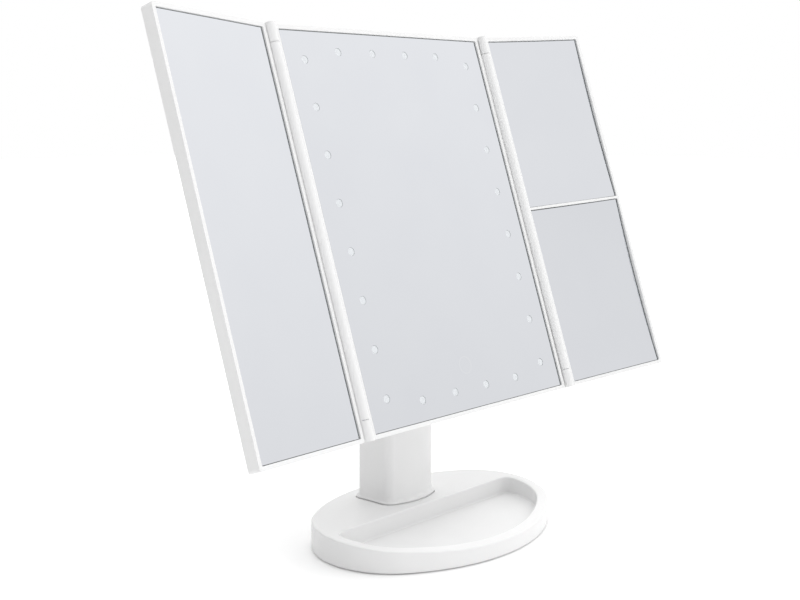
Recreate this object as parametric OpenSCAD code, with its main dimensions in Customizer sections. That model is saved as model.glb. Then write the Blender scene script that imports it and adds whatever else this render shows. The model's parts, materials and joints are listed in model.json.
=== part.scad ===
// Trifold vanity mirror on an oval base. Millimetres, +Z up, the user sits on the -Y side.
// The origin lies on the table, under the middle of the base.

/* [Base] */
// Length of the oval base, left to right
base_l = 176.5; // [160:0.5:200]
// Width of the oval base, front to back
base_w = 125; // [118:0.5:140]
// Radius of the oval's end arcs
base_end_r = 50; // [44:0.5:54]
// Height of the base at the peak of its arched top
base_peak_h = 17.2; // [16:0.1:22]
// How far behind the middle the arched top peaks
base_peak_y = 21.7; // [15:0.1:30]
// Radius of the arched top
base_arch_r = 543; // [450:1:800]
// Wall of the base housing
base_wall = 2.2; // [1.6:0.1:2.6]
// Thickness of the bottom cover
plate_t = 2; // [1.6:0.1:2.6]
// How far the rubber feet stand proud of the bottom cover
foot_proud = 1; // [0.6:0.1:2]
// Radius of a rubber foot
foot_r = 6; // [4:0.5:7]
// Distance of the feet from the middle, left and right
foot_x = 44; // [36:1:50]
// Distance of the feet from the middle, front and back
foot_y = 38; // [30:1:40]
// Thickness of the steel weight
ballast_t = 6; // [3:0.5:7]

/* [Tray] */
// Distance of the tray's straight back wall behind the middle
tray_back_y = 5.6; // [4:0.1:7]
// Height of the tray's floor above the table
tray_floor_z = 5.6; // [5.2:0.1:8]
// Width of the rim round the tray
tray_rim = 7.5; // [6:0.1:12]

/* [Neck] */
// Width of the neck
neck_w = 43; // [40:0.5:50]
// Where the bowed front of the neck stands, behind the middle
neck_front_y = 15; // [13:0.1:18]
// Depth of the neck, front to back
neck_d = 34; // [33:0.5:38]
// Radius of the neck's bowed front
neck_bow_r = 45; // [38:1:80]
// Radius of the neck's front corners
neck_front_r = 7; // [5:0.5:8]
// Radius of the neck's back corners
neck_back_r = 5; // [3:0.5:6]
// Wall of the neck housing
neck_wall = 2.2; // [1.8:0.1:2.6]
// How far the foot of the neck flares out
flare = 2; // [1:0.1:3]
// Height of the flare
flare_h = 5; // [3:0.5:8]

/* [Battery bay] */
// Diameter of an AAA cell
cell_d = 10.5; // [10:0.1:10.6]
// Length of an AAA cell with its nub
cell_l = 44.5; // [43.5:0.1:45]
// Height of the battery bay's floor above the table
bay_z = 40; // [38:0.5:44]
// Wall of the battery bay
bay_wall = 1.2; // [1:0.1:1.4]
// Thickness of the battery door
door_t = 1.7; // [1.4:0.1:1.8]

/* [Tilt hinge] */
// Height of the tilt axis above the table
tilt_z = 171.8; // [168:0.1:190]
// Diameter of the tilt pin
tilt_pin_d = 5; // [4:0.5:6]
// Width of the slot between the neck's two cheeks
fork_w = 24; // [20:0.5:25]
// Thickness of a friction washer
washer_t = 0.75; // [0.5:0.05:1]
// Radius of the lug's round end
lug_r = 11; // [9:0.5:11.5]
// Distance of the tilt axis behind the mirror's front
axis_back = 36; // [35:0.5:44]
// Height of the tilt axis above the mirror's bottom edge, along the mirror
axis_up = 105.1; // [95:0.1:125]
// Backward tilt of the mirror at rest, in degrees
rest_tilt = 19.1; // [5:0.1:30]

/* [Mirror panels] */
// Height of the three panels
panel_h = 245; // [235:1:260]
// Width of the centre panel without its hinges
centre_w = 180.4; // [178:0.2:200]
// Width of the lip round every mirror
lip = 2.6; // [2:0.1:3.4]
// Depth of the glass below the lip
recess = 1; // [0.6:0.1:1.4]
// Thickness of the flat glass
glass_t = 2; // [1.8:0.1:2.4]
// Thickness of the two magnifying mirrors at their edge
lens_t = 3; // [2.6:0.1:3.1]
// Gap round the glass
glass_gap = 0.3; // [0.2:0.05:0.5]
// Thickness of the double-sided tape
tape_t = 0.5; // [0.4:0.05:0.8]
// Thickness of the flange that carries the glass
flange_t = 1.6; // [1.2:0.1:1.6]
// Depth of the frames, front to back
frame_d = 8.1; // [8:0.1:10]
// Depth of the centre panel with its rear cover
centre_d = 13; // [12.9:0.1:15]
// Radius of the panels' corners
corner_r = 1.8; // [1:0.1:2.4]
// Height of the bar between the right wing's two mirrors, above the panel's middle
bar_up = 0.5; // [-10:0.5:10]
// Width of that bar
bar_w = 1.9; // [1.5:0.1:3]
// Radius of the upper right mirror's hollow
upper_lens_r = 1900; // [1600:50:4000]
// Radius of the lower right mirror's hollow
lower_lens_r = 1300; // [1250:50:4000]

/* [Wing hinges] */
// Distance of a wing's hinge axis outside the centre panel's side
hinge_out = 3.8; // [3.6:0.1:4.2]
// Distance of the hinge axis in front of the lips
hinge_fwd = 0.75; // [0.5:0.05:1.2]
// Radius of the hinge barrels
barrel_r = 3.2; // [3:0.1:3.4]
// Length of the centre panel's ears
ear_l = 12; // [10:0.5:16]
// Clearance between an ear and the wing's barrel
ear_gap = 0.3; // [0.2:0.05:0.5]
// Half the gap between the wings' free edges when both are closed
wing_gap = 0.5; // [0.3:0.1:2]
// Where a wing's frame starts, beside its hinge axis
wing_start = 3.5; // [3.5:0.1:3.8]
// Diameter of a hinge pin
pin_d = 3; // [2.5:0.1:3.2]
// Radius of a hinge bush
bush_r = 2.5; // [2.1:0.1:2.6]
// Length of a hinge bush
bush_l = 9.6; // [7:0.2:14]
// Forward fold of the left wing at rest, in degrees
left_fold = 10.9; // [0:0.1:60]
// Forward fold of the right wing at rest, in degrees
right_fold = 9.6; // [0:0.1:60]

/* [Lights] */
// Distance between two lights
led_pitch = 29.1; // [27.6:0.1:29.3]
// Lights down each side
led_rows = 8; // [4:1:8]
// Lights across the top and the bottom
led_cols = 4; // [2:1:4]
// Diameter of a light window
window_d = 5; // [3:0.5:6]
// Distance of the side lights from the glass's edge
led_side = 15.2; // [15:0.1:16.5]
// Distance of the top and bottom lights from the glass's edge
led_top = 12.2; // [11.8:0.1:13.5]
// Height of the touch mark above the panel's bottom edge
touch_z = 29.7; // [27:0.1:38]

/* [Switch] */
// Travel of the slide switch
switch_travel = 4; // [2:0.5:5]
// Width of the switch's knob
knob_w = 4.2; // [3:0.2:5]
// Height of the switch's knob
knob_h = 3; // [2:0.2:3.4]
// How far the knob stands out of the neck
knob_proud = 1.3; // [0.8:0.1:2]

/* [Hidden] */
$fn = 64;
hull_fn = 32;

// Colours, as the photograph shows them
white = [0.95, 0.95, 0.95];
steel = [0.72, 0.73, 0.75];
silver = [0.86, 0.87, 0.89];
milky = [0.97, 0.97, 0.94];
board_green = [0.1, 0.42, 0.25];
rubber = [0.55, 0.55, 0.56];
black = [0.12, 0.12, 0.13];
nylon = [0.85, 0.85, 0.82];
tape_colour = [0.75, 0.76, 0.74];

// Small clearances
eps = 0.01;
fit_gap = 0.15;
seam = 0.35;
shaft_gap = 0.05;
thread_gap = 0.05;

// Base, worked out
plate_bottom = foot_proud;
plate_top = plate_bottom + plate_t;
end_x = base_l / 2 - base_end_r;
side_c = (pow(end_x, 2) - pow(base_w / 2 - base_end_r, 2)) / (2 * (base_w / 2 - base_end_r));
side_r = base_w / 2 + side_c;
base_screw_at = [for (s = [-1, 1], p = [[16.25, tray_back_y + 9.4], [52.25, base_w / 2 - 13.5]])
    [s * (base_l / 2 - p[0]), p[1]]];
base_pilot_z = base_peak_h - base_wall - 3;
base_boss_r = 3.4;

// Neck, worked out
neck_back_y = neck_front_y + neck_d;
neck_mid_y = neck_front_y + neck_d / 2;
bow_y = neck_front_y + neck_bow_r;
neck_corner_x = neck_w / 2 - neck_front_r;
neck_corner_y = bow_y - sqrt(pow(neck_bow_r - neck_front_r, 2) - pow(neck_corner_x, 2));
neck_seat_z = base_peak_h - 2;
neck_spigot_d = 3;
spigot_z = 8;
socket_web_t = 2;
socket_wall = 2.5;
neck_floor_t = 4;
neck_foot_screw_at = [for (x = [-12, 12], y = [-8, 8]) [x, neck_mid_y + y]];
fork_z = tilt_z - lug_r - 2;
neck_roof_t = 3;
cheek_x = fork_w / 2;
cap_r = 6.5;
cap_t = 1.3;
cap_recess = 4.5;
pin_seat_x = neck_w / 2 - cap_recess;

// Neck's rear panel and battery bay, worked out
rear_w = 31;
rear_z0 = 24;
rear_z1 = fork_z - 7;
rear_t = neck_wall;
rear_in_y = neck_back_y - rear_t;
contact_t = 0.4;
spring_l = 5;
bay_w = 2 * cell_d + 1.4;
bay_l = 2 * cell_l + spring_l + 2 * contact_t + 0.2;
bay_in_y = rear_in_y - cell_d - 1.1;
cell_x = cell_d / 2 + 0.2;
cell_y = bay_in_y + cell_d / 2 + 0.2;
door_ledge = 1;
door_gap = 0.3;
door_w = bay_w + 2 * door_ledge - 2 * door_gap;
door_l = bay_l + 2 * door_ledge - 2 * door_gap;
door_z = bay_z - door_ledge + door_gap;
door_seat_y = neck_back_y - door_t - 0.1;
hook_x = 7;
hook_w = 4;
usb_z = 30.5;
usb_w = 8.9;
usb_h = 3.2;
usb_l = 7.3;
switch_z = bay_z + bay_l + 9;
switch_slot_w = knob_w + switch_travel + 0.4;
knob_in = 4.6;
switch_body_in = 5;
neck_screw_x = 12;
neck_screw_at = [for (x = [-neck_screw_x, neck_screw_x], z = [usb_z, switch_z]) [x, z]];
neck_boss_r = 2.8;
neck_boss_y = neck_back_y - 15;
neck_pilot_y = neck_boss_y + 2;

// Centre panel, worked out
hinge_x = centre_w / 2 + hinge_out;
open_w = centre_w - 2 * lip;
open_h = panel_h - 2 * lip;
glass_w = open_w - 2 * glass_gap;
glass_h = open_h - 2 * glass_gap;
glass_back = recess + glass_t;
flange_y = glass_back + tape_t;
flange_back = flange_y + flange_t;
mid_z = panel_h / 2;
led_x = glass_w / 2 - led_side;
led_z = glass_h / 2 - led_top;
led_at = [
    for (s = [-1, 1], i = [0 : led_rows - 1]) [s * led_x, mid_z + (i - (led_rows - 1) / 2) * led_pitch],
    for (s = [-1, 1], i = [0 : led_cols - 1]) [(i - (led_cols - 1) / 2) * led_pitch, mid_z + s * led_z]
];
ring_half = 5;
guide_t = 1.4;
chip_t = 0.6;
led_board_t = 1;
chip_y = flange_back + guide_t + 0.1;
led_board_y = chip_y + chip_t;
led_board_back = led_board_y + led_board_t;
window_sink = 0.8;
rib_in = 16;
cover_t = 2;
cover_in_y = centre_d - cover_t;
rear_boss_r = 3.2;
rear_screw_at = [for (s = [-1, 1], z = [12, mid_z, panel_h - 12])
    [s * (open_w / 2 - rear_boss_r - 1.9), z]];
bracket_w = 56;
bracket_h = 44;
bracket_t = 3;
bracket_pilot_y = centre_d - 5.4;
bracket_screw_at = [for (x = [-21, 21], z = [-15, 15]) [x, axis_up + z]];
cable_hole_r = 2.4;
cable_hole_z = axis_up - 17;
lug_w = fork_w - 2 * washer_t - 0.2;
control_y = 6.4;
control_t = 1.2;
control_back = control_y + control_t;
control_w = 46;
control_h = 26;
control_z = touch_z + 5.5;
control_post_at = [for (x = [-20, 20], z = [-10, 10]) [x, control_z + z]];

// Wings, worked out
wing_w = hinge_x - wing_gap;
wing_in = wing_start + lip;
wing_open_w = wing_w - lip - wing_in;
wing_mid = wing_in + wing_open_w / 2;
wing_flange = 6;
wing_cover_t = 1.4;
lens_flange_y = recess + lens_t + tape_t;
lens_rings = 10;
barrel_z0 = ear_l + ear_gap;
barrel_z1 = panel_h - ear_l - ear_gap;
bar_z = mid_z + bar_up;
upper_z0 = bar_z + bar_w / 2;
upper_h = panel_h - lip - upper_z0;
lower_h = bar_z - bar_w / 2 - lip;
pin_end = 0.6;
pin_l = barrel_z0 + bush_l - pin_end;

// ---------- Shared shapes ----------

// Oval of four tangent arcs, shrunk by d all round
module oval(d) {
    join_x = end_x * (side_r - d) / (side_r - base_end_r);
    for (s = [-1, 1]) translate([s * end_x, 0]) circle(base_end_r - d);
    intersection() {
        translate([0, -side_c]) circle(side_r - d);
        translate([0, side_c]) circle(side_r - d);
        square([2 * join_x, 2 * base_w], center = true);
    }
}

// D-shaped outline of the tray, grown by g all round
module tray_outline(g) {
    r = tray_back_y + g;
    cx = end_x + base_end_r - tray_rim - tray_back_y;
    intersection() {
        oval(tray_rim - g);
        translate([-base_l, -base_l]) square([2 * base_l, base_l]);
    }
    translate([-cx, -1]) square([2 * cx, r + 1]);
    for (s = [-1, 1]) translate([s * cx, 0]) circle(r);
}

// The neck's outline, shrunk by d all round: bowed front, round corners, straight sides and back
module neck_section(d) {
    half = neck_w / 2 - d;
    back = neck_back_y - d;
    back_r = neck_back_r - min(d, neck_back_r - 0.5);
    reach = 1.3 * neck_bow_r / (bow_y - neck_corner_y);
    intersection() {
        translate([0, bow_y]) circle(neck_bow_r - d);
        polygon([for (p = [[-1, 1], [-1, reach], [1, reach], [1, 1]])
            [p[0] * p[1] * neck_corner_x, bow_y - p[1] * (bow_y - neck_corner_y)]]);
    }
    for (s = [-1, 1]) translate([s * neck_corner_x, neck_corner_y]) circle(neck_front_r - d);
    translate([-half, neck_corner_y]) square([2 * half, back - back_r - neck_corner_y]);
    translate([back_r - half, neck_corner_y]) square([2 * (half - back_r), back - neck_corner_y]);
    for (s = [-1, 1]) translate([s * (half - back_r), back - back_r]) circle(back_r);
}

// Rectangle with round corners, centred
module round_rect(w, h, r) {
    square([w - 2 * r, h], center = true);
    square([w, h - 2 * r], center = true);
    for (x = [-1, 1], y = [-1, 1]) translate([x * (w / 2 - r), y * (h / 2 - r)]) circle(r);
}

// Plate in the X-Z plane, its middle at [x, z], from depth y0 to y1
module slab(x, z, w, h, r, y0, y1) {
    translate([x, y1, z]) rotate([90, 0, 0]) linear_extrude(y1 - y0) round_rect(w, h, r);
}

// Round bar along Y, from depth y0 to y1
module bar_y(x, z, r, y0, y1) {
    translate([x, y0, z]) rotate([-90, 0, 0]) cylinder(r = r, h = y1 - y0);
}

// Round bar along X, from x0 to x1
module bar_x(y, z, r, x0, x1) {
    translate([x0, y, z]) rotate([0, 90, 0]) cylinder(r = r, h = x1 - x0);
}

// Round bar along Z, from z0 to z1
module bar_z(x, y, r, z0, z1) {
    translate([x, y, z0]) cylinder(r = r, h = z1 - z0);
}

// Space under the arched top, lowered by d
module under_arch(d) {
    translate([-base_l, base_peak_y, base_peak_h - base_arch_r]) rotate([0, 90, 0])
        cylinder(r = base_arch_r - d, h = 2 * base_l, $fn = 720);
}

// Places for the panels: the mirror's own axes, then each wing's
module in_panel() {
    translate([0, neck_mid_y, tilt_z]) rotate([-rest_tilt, 0, 0])
        translate([0, -axis_back, -axis_up]) children();
}
module in_left_wing() {
    in_panel() translate([-hinge_x, -hinge_fwd, 0]) rotate([0, 0, left_fold]) mirror([1, 0, 0]) children();
}
module in_right_wing() {
    in_panel() translate([hinge_x, -hinge_fwd, 0]) rotate([0, 0, -right_fold]) children();
}

// ---------- Base ----------

module base_shell() {
    color(white) difference() {
        union() {
            difference() {
                intersection() {
                    translate([0, 0, plate_bottom]) linear_extrude(base_peak_h) oval(0);
                    under_arch(0);
                }
                difference() {
                    intersection() {
                        translate([0, 0, -1]) linear_extrude(base_peak_h + 1) oval(base_wall);
                        under_arch(base_wall);
                    }
                    translate([0, 0, tray_floor_z - base_wall + 0.2]) linear_extrude(base_peak_h)
                        tray_outline(base_wall);
                }
            }
            // Socket that holds the neck, and screw bosses
            intersection() {
                union() {
                    translate([0, 0, spigot_z - socket_web_t]) linear_extrude(base_peak_h)
                        neck_section(-flare - socket_wall);
                    for (p = base_screw_at) bar_z(p[0], p[1], base_boss_r, plate_top, base_peak_h);
                }
                under_arch(0);
            }
        }
        translate([0, 0, tray_floor_z]) linear_extrude(base_peak_h) tray_outline(0);
        translate([0, 0, neck_seat_z]) linear_extrude(base_peak_h) neck_section(-flare - seam);
        translate([0, 0, spigot_z]) linear_extrude(base_peak_h) neck_section(neck_spigot_d - fit_gap);
        for (p = neck_foot_screw_at) bar_z(p[0], p[1], 1.7, 0, spigot_z + 1);
        for (p = base_screw_at) bar_z(p[0], p[1], 1.1 + thread_gap, 0, base_pilot_z);
    }
}

module base_plate() {
    color(white) difference() {
        translate([0, 0, plate_bottom]) linear_extrude(plate_t) oval(base_wall + fit_gap);
        for (x = [-1, 1], y = [-1, 1]) bar_z(x * foot_x, y * foot_y, foot_r + 0.1, 0, plate_bottom + 0.8);
        for (p = base_screw_at) {
            bar_z(p[0], p[1], 1.5, 0, plate_top + 1);
            bar_z(p[0], p[1], 2.8, 0, plate_bottom + 1);
        }
    }
}

module ballast_plate() {
    color(steel) difference() {
        translate([0, 0, plate_top]) linear_extrude(ballast_t) intersection() {
            oval(base_wall + 3);
            translate([-base_l, tray_back_y + base_wall + 1.5]) square([2 * base_l, base_w]);
        }
        linear_extrude(base_peak_h) neck_section(-flare - socket_wall - 0.6);
        for (p = base_screw_at) bar_z(p[0], p[1], base_boss_r + 0.4, 0, base_peak_h);
    }
}

module base_feet() {
    color(rubber) for (x = [-1, 1], y = [-1, 1])
        bar_z(x * foot_x, y * foot_y, foot_r, 0, plate_bottom + 0.8);
}

module base_screws() {
    color(steel) for (p = base_screw_at) difference() {
        union() {
            bar_z(p[0], p[1], 2.6, plate_bottom + 0.1, plate_bottom + 1);
            bar_z(p[0], p[1], 1.1, plate_bottom + 0.5, base_pilot_z - 2);
        }
        cross_slot(p[0], p[1], plate_bottom + 0.1);
    }
}

// Cross slot in a screw head that faces down, at height z
module cross_slot(x, y, z) {
    for (a = [0, 90]) translate([x, y, z]) rotate([0, 0, a]) cube([3, 0.6, 1], center = true);
}

// ---------- Neck ----------

module neck_shell() {
    color(white) difference() {
        union() {
            intersection() {
                translate([0, 0, neck_seat_z]) linear_extrude(tilt_z) neck_section(0);
                union() {
                    translate([-neck_w, 0, 0]) cube([2 * neck_w, 2 * neck_back_y, tilt_z]);
                    bar_x(neck_mid_y, tilt_z, neck_d / 2, -neck_w, neck_w);
                }
            }
            // Flared foot
            hull() {
                translate([0, 0, neck_seat_z]) linear_extrude(eps) neck_section(-flare, $fn = hull_fn);
                translate([0, 0, neck_seat_z + flare_h]) linear_extrude(eps) neck_section(0, $fn = hull_fn);
            }
            translate([0, 0, spigot_z]) linear_extrude(neck_seat_z - spigot_z + 1) neck_section(neck_spigot_d);
        }
        // Hollow
        translate([0, 0, spigot_z + neck_floor_t])
            linear_extrude(fork_z - neck_roof_t - spigot_z - neck_floor_t)
            neck_section(neck_spigot_d + 1.2);
        translate([0, 0, neck_seat_z + flare_h])
            linear_extrude(fork_z - neck_roof_t - neck_seat_z - flare_h) neck_section(neck_wall);
        // Opening for the rear panel
        translate([-rear_w / 2, rear_in_y - 3, rear_z0]) cube([rear_w, neck_d, rear_z1 - rear_z0]);
        // Slot between the cheeks
        translate([-cheek_x, 0, fork_z]) cube([fork_w, 2 * neck_back_y, tilt_z]);
        bar_x(neck_mid_y, tilt_z, tilt_pin_d / 2 + shaft_gap, -neck_w, neck_w);
        for (s = [-1, 1]) scale([s, 1, 1]) bar_x(neck_mid_y, tilt_z, cap_r, pin_seat_x, neck_w);
        for (p = neck_foot_screw_at) bar_z(p[0], p[1], 1.4 + thread_gap, 0, 30);
        // Way for the wires
        bar_z(0, neck_mid_y, cable_hole_r, fork_z - neck_roof_t - 1, fork_z + 1);
    }
    color(white) for (p = neck_screw_at) neck_boss(p[0], p[1]);
}

// Screw boss on a rib from the neck's side wall
module neck_boss(x, z) {
    side = x > 0 ? 1 : -1;
    difference() {
        union() {
            bar_y(x, z, neck_boss_r, neck_boss_y, rear_in_y);
            translate([side > 0 ? x : -neck_w / 2 + 1, neck_boss_y, z - 1])
                cube([neck_w / 2 - 1 - abs(x), rear_in_y - 3.2 - neck_boss_y, 2]);
        }
        bar_y(x, z, 1.1 + thread_gap, neck_pilot_y, neck_back_y);
    }
}

module neck_back() {
    color(white) difference() {
        union() {
            slab(0, (rear_z0 + rear_z1) / 2, rear_w - 2 * fit_gap, rear_z1 - rear_z0 - 2 * fit_gap, 0.6,
                rear_in_y, neck_back_y);
            // Battery bay
            translate([-bay_w / 2 - bay_wall, bay_in_y - bay_wall, bay_z - bay_wall])
                cube([bay_w + 2 * bay_wall, rear_in_y - bay_in_y + bay_wall + eps, bay_l + 2 * bay_wall]);
            // Posts for the power board
            for (x = [-7, 7], z = [-4, 4]) bar_y(x, usb_z + z, 1.4, power_board_back(), rear_in_y + eps);
        }
        translate([-bay_w / 2, bay_in_y, bay_z]) cube([bay_w, neck_d, bay_l]);
        translate([-bay_w / 2 - door_ledge, door_seat_y, bay_z - door_ledge])
            cube([bay_w + 2 * door_ledge, neck_d, bay_l + 2 * door_ledge]);
        // Pockets for the door's hooks
        for (s = [-1, 1]) translate([s * hook_x - hook_w / 2 - 0.3, door_seat_y - 2.6, bay_z - door_ledge - 2.2])
            cube([hook_w + 0.6, 2.7, door_ledge + 3.4]);
        // Finger notch above the door
        bar_y(0, bay_z + bay_l + door_ledge, 4, neck_back_y - 1.2, neck_back_y + 1);
        slab(0, usb_z, usb_w + 0.4, usb_h + 0.4, usb_h / 2, rear_in_y - 1, neck_back_y + 1);
        translate([-switch_slot_w / 2, rear_in_y - 1, switch_z - knob_h / 2 - 0.2])
            cube([switch_slot_w, rear_t + 2, knob_h + 0.4]);
        for (p = neck_screw_at) {
            bar_y(p[0], p[1], 1.4, rear_in_y - 1, neck_back_y + 1);
            bar_y(p[0], p[1], 2.3, neck_back_y - 1, neck_back_y + 1);
        }
    }
}

function power_board_back() = neck_back_y - 0.2 - usb_l;

module neck_screws() {
    color(steel) for (p = neck_screw_at) screw_y(p[0], p[1], 2.1, 0.9, neck_back_y - 1, 1.1, neck_pilot_y + 4);
}

// Screw driven along -Y: its head of radius hr starts at depth y and is ht thick, its shank ends at depth tip
module screw_y(x, z, hr, ht, y, sr, tip) {
    difference() {
        union() {
            bar_y(x, z, hr, y, y + ht);
            bar_y(x, z, sr, tip, y + eps);
        }
        for (a = [0, 90]) translate([x, y + ht, z]) rotate([0, a, 0]) cube([hr * 1.2, 0.9, hr * 0.25], center = true);
    }
}

module neck_foot_screws() {
    color(steel) for (p = neck_foot_screw_at) difference() {
        union() {
            bar_z(p[0], p[1], 2.7, spigot_z - socket_web_t - 1.9, spigot_z - socket_web_t);
            bar_z(p[0], p[1], 1.4, spigot_z - socket_web_t - 0.5, 11.6);
        }
        cross_slot(p[0], p[1], spigot_z - socket_web_t - 1.9);
    }
}

// ---------- Battery and power ----------

module cell(x, z, up) {
    nub = 1.2;
    bar_z(x, cell_y, cell_d / 2, up ? z : z + nub, up ? z + cell_l - nub : z + cell_l);
    bar_z(x, cell_y, 1.9, z + (up ? cell_l - nub - 0.1 : 0), z + (up ? cell_l : nub + 0.1));
}

module battery_cells() {
    left_z = bay_z + contact_t + spring_l;
    right_z = bay_z + contact_t;
    color(black) for (i = [0, 1]) {
        cell(-cell_x, left_z + i * (cell_l + 0.02), true);
        cell(cell_x, right_z + i * (cell_l + 0.02), false);
    }
}

module battery_springs() {
    color(steel) for (p = [[-cell_x, bay_z + contact_t], [cell_x, bay_z + contact_t + 2 * cell_l + 0.1]])
        difference() {
            bar_z(p[0], cell_y, 3, p[1], p[1] + spring_l - 0.1);
            bar_z(p[0], cell_y, 2.2, p[1] - 1, p[1] + spring_l + 1);
        }
}

module battery_plates() {
    color(steel) {
        for (x = [-cell_x, cell_x]) translate([x - 4, bay_in_y + 1, bay_z]) cube([8, cell_d - 2, contact_t]);
        translate([-cell_x - 4, bay_in_y + 1, bay_z + bay_l - contact_t])
            cube([2 * cell_x + 8, cell_d - 2, contact_t]);
    }
}

module battery_door() {
    color(white) {
        difference() {
            slab(0, door_z + door_l / 2, door_w, door_l, 0.8, neck_back_y - door_t, neck_back_y);
            // Grip ribs under the finger notch
            for (i = [0 : 2]) translate([-5, neck_back_y - 0.4, door_z + door_l - 9 + 2 * i]) cube([10, 1, 0.8]);
        }
        for (s = [-1, 1]) translate([s * hook_x - hook_w / 2, 0, 0]) {
            translate([0, neck_back_y - door_t - 0.8, door_z]) cube([hook_w, 0.9, 1.2]);
            translate([0, neck_back_y - door_t - 1.8, door_z - 1.4]) cube([hook_w, 1, 2.6]);
        }
    }
}

module power_board() {
    color(board_green) difference() {
        translate([-9, power_board_back() - 1.2, usb_z - 6]) cube([18, 1.2, 12]);
        for (x = [-7, 7], z = [-4, 4]) bar_y(x, usb_z + z, 0.6, 0, neck_back_y);
    }
}

module usb_socket() {
    color(steel) difference() {
        slab(0, usb_z, usb_w, usb_h, usb_h / 2 - 0.05, power_board_back(), neck_back_y - 0.2);
        slab(0, usb_z, usb_w - 0.6, usb_h - 0.6, usb_h / 2 - 0.4, power_board_back() + 1, neck_back_y);
    }
    color(black) slab(0, usb_z, usb_w - 2.6, 0.7, 0.3, power_board_back() + 0.9, neck_back_y - 1.2);
}

// Wire of radius r along a chain of points
module wire(points, r) {
    for (i = [0 : len(points) - 2]) {
        a = points[i];
        d = points[i + 1] - a;
        translate(a) rotate([0, acos(d[2] / norm(d)), atan2(d[1], d[0])]) cylinder(r = r, h = norm(d), $fn = 16);
        if (i < len(points) - 2) translate(points[i + 1]) sphere(r + 0.03, $fn = 16);
    }
}

module neck_wires() {
    front_y = bay_in_y - bay_wall - 1.4;
    board_y = power_board_back() - 1.8;
    for (s = [-1, 1]) color(s > 0 ? [0.7, 0.1, 0.1] : black) wire([
        [s, board_y, usb_z],
        [s, front_y, bay_z - 4],
        [s, front_y, switch_z - 4],
        [s, neck_mid_y, fork_z - neck_roof_t - 3],
        [s, neck_mid_y, fork_z - 0.8]
    ], 0.6);
}

module switch_body() {
    color(black) difference() {
        translate([-6, rear_in_y - switch_body_in, switch_z - 3]) cube([12, switch_body_in, 6]);
        translate([-switch_slot_w / 2, neck_back_y + knob_proud - 0.2 - knob_reach(), switch_z - knob_h / 2 - 0.2])
            cube([switch_slot_w, 10, knob_h + 0.4]);
    }
}

function knob_reach() = knob_proud + rear_t + 2.4;

module switch_slider() {
    color(black) translate([-knob_w / 2 - switch_travel / 2, neck_back_y + knob_proud - knob_reach(),
        switch_z - knob_h / 2])
        difference() {
            cube([knob_w, knob_reach(), knob_h]);
            for (i = [1 : 3]) translate([i * knob_w / 4 - 0.2, knob_reach() - 0.3, -1]) cube([0.4, 1, knob_h + 2]);
        }
}

// ---------- Tilt hinge ----------

module tilt_pin() {
    color(steel) difference() {
        union() {
            bar_x(neck_mid_y, tilt_z, 4.4, -pin_seat_x - 2.4, -pin_seat_x);
            bar_x(neck_mid_y, tilt_z, tilt_pin_d / 2, -pin_seat_x - 1, pin_seat_x + 2.8);
        }
        bar_x(neck_mid_y, tilt_z, 1.5, -pin_seat_x - 3, -pin_seat_x - 1);
    }
}

module tilt_nut() {
    color(steel) difference() {
        translate([pin_seat_x, neck_mid_y, tilt_z]) rotate([0, 90, 0]) cylinder(r = 4.6, h = 2.6, $fn = 6);
        bar_x(neck_mid_y, tilt_z, tilt_pin_d / 2 + thread_gap, 0, neck_w);
    }
}

module tilt_washers() {
    color(nylon) for (s = [-1, 1]) scale([s, 1, 1]) difference() {
        bar_x(neck_mid_y, tilt_z, 7, cheek_x - washer_t, cheek_x);
        bar_x(neck_mid_y, tilt_z, tilt_pin_d / 2 + 0.08, 0, neck_w);
    }
}

module hinge_caps() {
    color(white) for (s = [-1, 1]) scale([s, 1, 1])
        bar_x(neck_mid_y, tilt_z, cap_r - 0.1, neck_w / 2 - cap_t, neck_w / 2);
}

module tilt_bracket() {
    in_panel() color(white) difference() {
        union() {
            slab(0, axis_up, bracket_w, bracket_h, 6, centre_d, centre_d + bracket_t);
            translate([-lug_w / 2, centre_d + bracket_t - eps, axis_up - lug_r])
                cube([lug_w, axis_back - centre_d - bracket_t + eps, 2 * lug_r]);
            bar_x(axis_back, axis_up, lug_r, -lug_w / 2, lug_w / 2);
        }
        bar_x(axis_back, axis_up, tilt_pin_d / 2 + shaft_gap, -neck_w, neck_w);
        for (p = bracket_screw_at) {
            bar_y(p[0], p[1], 1.7, 0, axis_back);
            bar_y(p[0], p[1], 3, centre_d + bracket_t - 1.4, axis_back);
        }
        bar_y(0, cable_hole_z, cable_hole_r, 0, centre_d + bracket_t + 1);
    }
}

module bracket_screws() {
    in_panel() color(steel) for (p = bracket_screw_at)
        screw_y(p[0], p[1], 2.8, 1.3, centre_d + bracket_t - 1.4, 1.4, bracket_pilot_y + 0.4);
}

// ---------- Centre panel ----------

// Ring of the lights' zone, from depth y0 to y1
module light_zone(y0, y1) {
    difference() {
        slab(0, mid_z, 2 * (led_x + ring_half), 2 * (led_z + ring_half), 2, y0, y1);
        slab(0, mid_z, 2 * (led_x - ring_half), 2 * (led_z - ring_half), 1, y0 - 1, y1 + 1);
    }
}

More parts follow.
